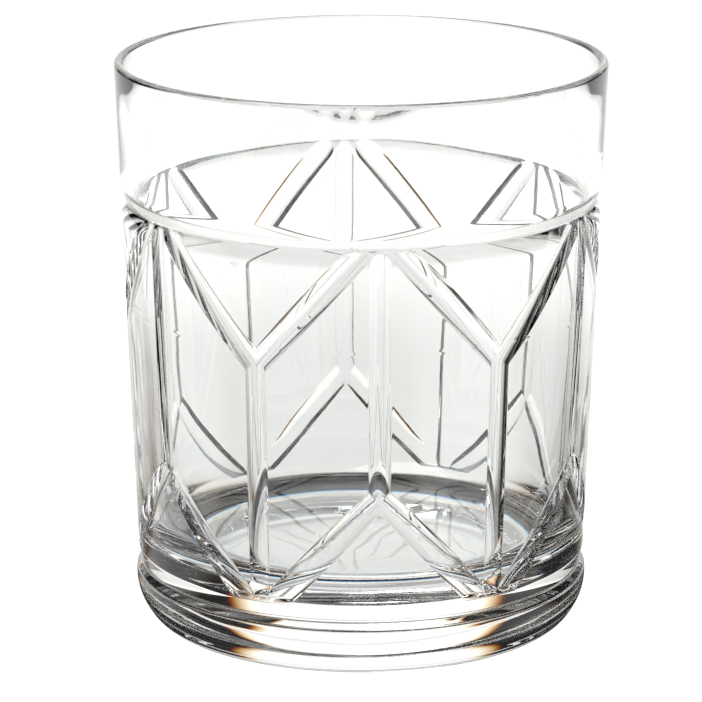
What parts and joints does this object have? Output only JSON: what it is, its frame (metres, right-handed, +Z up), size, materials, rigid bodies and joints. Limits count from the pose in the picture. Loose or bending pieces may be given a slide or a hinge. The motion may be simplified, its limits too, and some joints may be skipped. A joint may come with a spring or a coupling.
{
  "type": "whiskey tumbler",
  "caption": "Straight-sided tumbler of thick cut crystal, slightly wider at the rim, with a plain lip band, a panelled cut wall and a heavy rounded foot; holds a short drink.",
  "frame": {"origin": "centre of the circle that the glass stands on, on the table", "axes": "+Z up along the axis of the glass; -Y towards the middle of one upright spine of the cut pattern"},
  "size_m": [0.0842, 0.0842, 0.098],
  "materials": {
    "crystal": "clear, cut and polished"
  },
  "bodies": {
    "root": {"tumbler_body": "crystal"}
  },
  "joints": []
}
